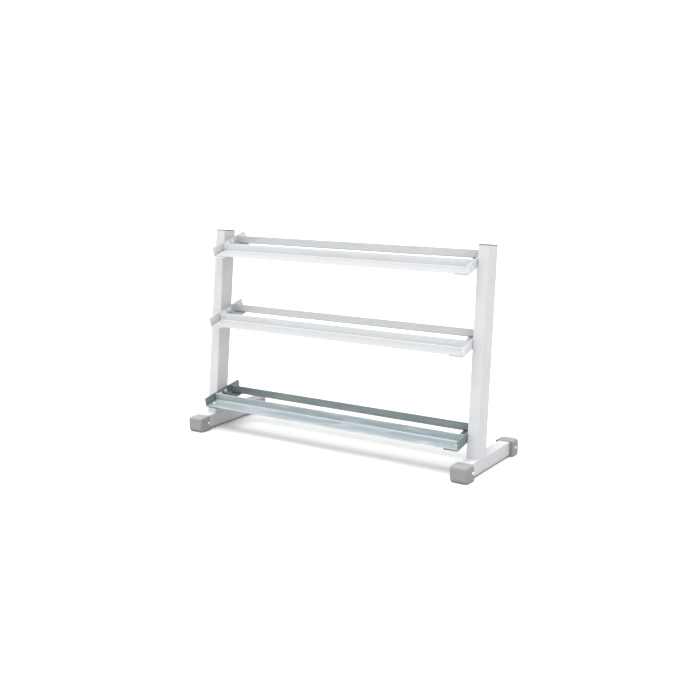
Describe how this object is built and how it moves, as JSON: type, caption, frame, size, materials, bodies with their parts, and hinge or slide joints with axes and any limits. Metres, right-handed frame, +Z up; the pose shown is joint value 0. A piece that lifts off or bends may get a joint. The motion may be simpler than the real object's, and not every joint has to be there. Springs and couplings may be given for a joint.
{
  "type": "dumbbell rack",
  "caption": "Tiered dumbbell rack: leaning tube end frames on capped base tubes, joined by tilted pairs of steel angle rails on bolted brackets.",
  "frame": {"origin": "middle of the footprint, on the floor under the foot caps", "axes": "+X along the rails to the right, +Y to the back, +Z up"},
  "size_m": [1.41, 0.474, 0.8994],
  "materials": {
    "frame_powder_coat": "white powder coat, satin, faint orange peel",
    "upper_shelf_steel": "pale silver-grey plated sheet steel, satin",
    "bottom_shelf_steel": "blue-grey plated sheet steel, satin",
    "foot_cap_rubber": "moulded mid-grey rubber, matt, fine grain",
    "top_plug_plastic": "dark grey moulded plastic, fine grain",
    "zinc_fastener": "bright zinc plate"
  },
  "bodies": {
    "root": {"left_base_tube": "frame_powder_coat", "right_base_tube": "frame_powder_coat", "left_upright": "frame_powder_coat", "right_upright": "frame_powder_coat", "left_weld_bead": "frame_powder_coat", "right_weld_bead": "frame_powder_coat", "left_top_plug": "top_plug_plastic", "right_top_plug": "top_plug_plastic", "front_left_foot_cap": "foot_cap_rubber", "front_right_foot_cap": "foot_cap_rubber", "rear_left_foot_cap": "foot_cap_rubber", "rear_right_foot_cap": "foot_cap_rubber", "left_foot_screws": "zinc_fastener", "right_foot_screws": "zinc_fastener", "bottom_left_bracket": "bottom_shelf_steel", "bottom_right_bracket": "bottom_shelf_steel", "bottom_front_rail": "bottom_shelf_steel", "bottom_rear_rail": "bottom_shelf_steel", "middle_left_bracket": "upper_shelf_steel", "middle_right_bracket": "upper_shelf_steel", "middle_front_rail": "upper_shelf_steel", "middle_rear_rail": "upper_shelf_steel", "top_left_bracket": "upper_shelf_steel", "top_right_bracket": "upper_shelf_steel", "top_front_rail": "upper_shelf_steel", "top_rear_rail": "upper_shelf_steel", "bottom_bracket_bolts": "zinc_fastener", "middle_bracket_bolts": "zinc_fastener", "top_bracket_bolts": "zinc_fastener", "bottom_bracket_washers": "zinc_fastener", "middle_bracket_washers": "zinc_fastener", "top_bracket_washers": "zinc_fastener", "bottom_rail_bolts": "zinc_fastener", "middle_rail_bolts": "zinc_fastener", "top_rail_bolts": "zinc_fastener", "bottom_rail_washers": "zinc_fastener", "middle_rail_washers": "zinc_fastener", "top_rail_washers": "zinc_fastener", "bottom_rail_nuts": "zinc_fastener", "middle_rail_nuts": "zinc_fastener", "top_rail_nuts": "zinc_fastener", "left_weld_nuts": "zinc_fastener", "right_weld_nuts": "zinc_fastener"}
  },
  "joints": []
}
